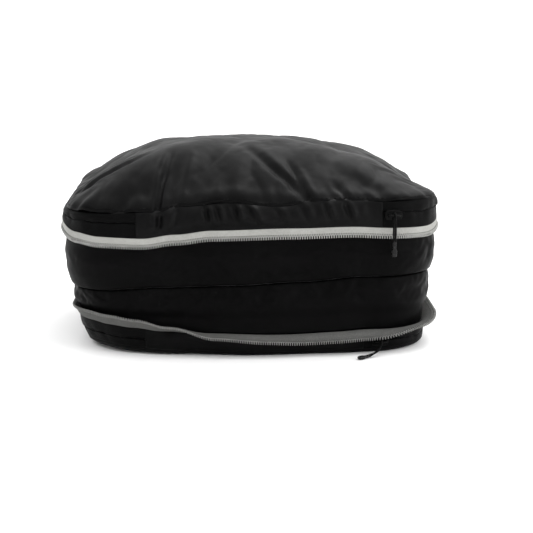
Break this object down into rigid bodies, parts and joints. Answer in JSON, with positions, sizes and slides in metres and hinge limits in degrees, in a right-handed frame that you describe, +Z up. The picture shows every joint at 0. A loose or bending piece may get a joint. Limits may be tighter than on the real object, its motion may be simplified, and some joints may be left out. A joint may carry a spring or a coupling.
{
  "type": "compression packing cube",
  "caption": "Soft double-sided packing cube with a domed lid, divider, expansion gusset, compression zipper and cord pulls, filled out and expanded.",
  "frame": {"origin": "middle of the footprint, on the surface the cube stands on", "axes": "+Z up, +X to the right along the long side, the fabric-hinge side with the parked sliders faces -Y"},
  "size_m": [0.245, 0.2031, 0.1308],
  "materials": {
    "black_nylon": "satin",
    "lining": "matte",
    "binding": "matte",
    "black_zipper_tape": "matte",
    "grey_zipper_tape": "matte",
    "black_coil": "satin",
    "grey_coil": "satin",
    "black_metal": "gloss",
    "pull_cord": "satin",
    "pull_tip": "gloss"
  },
  "bodies": {
    "bottom_flap": {"bottom_panel": "black_nylon", "base_seam_binding": "binding", "base_zipper_tape_lower": "black_zipper_tape", "base_zipper_coil_lower": "black_coil", "base_zipper_stops": "black_metal"},
    "lower_frame": {"base_front_panel": "black_nylon", "base_zipper_tape_upper": "black_zipper_tape", "base_zipper_coil_upper": "black_coil", "lower_frame_binding": "binding", "compression_tape_lower": "grey_zipper_tape", "compression_coil_lower": "grey_coil", "insertion_pin": "black_metal", "lower_top_stop": "black_metal", "gusset_lower": "black_nylon"},
    "divider_fold": {"divider_panel": "lining", "divider_binding": "binding"},
    "upper_frame": {"gusset_upper": "black_nylon", "upper_frame_binding": "binding", "lid_front_panel": "black_nylon", "lid_zipper_tape_lower": "black_zipper_tape", "lid_zipper_coil_lower": "black_coil", "lid_zipper_stops": "black_metal", "compression_tape_upper": "grey_zipper_tape", "compression_coil_upper": "grey_coil", "retainer_box": "black_metal", "upper_top_stop": "black_metal"},
    "lid": {"top_panel": "black_nylon", "lid_seam_binding": "binding", "lid_zipper_tape_upper": "black_zipper_tape", "lid_zipper_coil_upper": "black_coil"},
    "lid_slider": {"lid_slider": "black_metal"},
    "lid_pull": {"lid_pull_cord": "pull_cord", "lid_pull_tip": "pull_tip"},
    "base_slider": {"base_slider": "black_metal"},
    "base_pull": {"base_pull_cord": "pull_cord", "base_pull_tip": "pull_tip"},
    "compression_slider": {"compression_slider": "black_metal"},
    "compression_pull": {"compression_pull_cord": "pull_cord", "compression_pull_tip": "pull_tip"}
  },
  "joints": [
    {"name": "base_open", "type": "hinge", "parent": "bottom_flap", "child": "lower_frame", "pos_m": [0, -0.084, 0.001], "axis": [1, 0, 0], "range_deg": [0, 55]},
    {"name": "compress_lower", "type": "slide", "parent": "lower_frame", "child": "divider_fold", "axis": [0, 0, -1], "range_m": [0, 0.0238], "deforming": ["gusset_lower"]},
    {"name": "compress_upper", "type": "slide", "parent": "divider_fold", "child": "upper_frame", "axis": [0, 0, -1], "range_m": [0, 0.0238], "deforming": ["gusset_upper"]},
    {"name": "lid_open", "type": "hinge", "parent": "upper_frame", "child": "lid", "pos_m": [0, -0.09, 0.096], "axis": [1, 0, 0], "range_deg": [0, 110]},
    {"name": "lid_slider_run", "type": "hinge", "parent": "upper_frame", "child": "lid_slider", "pos_m": [0.082, -0.052, 0.0887], "axis": [0, 0, 1], "range_deg": [0, 75]},
    {"name": "lid_pull_swing", "type": "hinge", "parent": "lid_slider", "child": "lid_pull", "pos_m": [0.08655, -0.09501, 0.0887], "axis": [-0.9944, -0.1053, 0], "range_deg": [0, 150]},
    {"name": "base_slider_run", "type": "hinge", "parent": "bottom_flap", "child": "base_slider", "pos_m": [0.077, -0.048, 0.0077], "axis": [0, 0, 1], "range_deg": [0, 75]},
    {"name": "base_pull_swing", "type": "hinge", "parent": "base_slider", "child": "base_pull", "pos_m": [0.08044, -0.08911, 0.0077], "axis": [-0.9965, -0.0833, 0], "range_deg": [0, 90]},
    {"name": "compression_slider_run", "type": "slide", "parent": "upper_frame", "child": "compression_slider", "axis": [1, 0, 0], "range_m": [-0.06, 0]},
    {"name": "compression_pull_swing", "type": "hinge", "parent": "compression_slider", "child": "compression_pull", "pos_m": [-0.0095, 0.09655, 0.0701], "axis": [1, 0, 0], "range_deg": [0, 150]}
  ],
  "couplings": [
    {"joint": "compress_upper", "follows": "compress_lower", "ratio": 1}
  ]
}
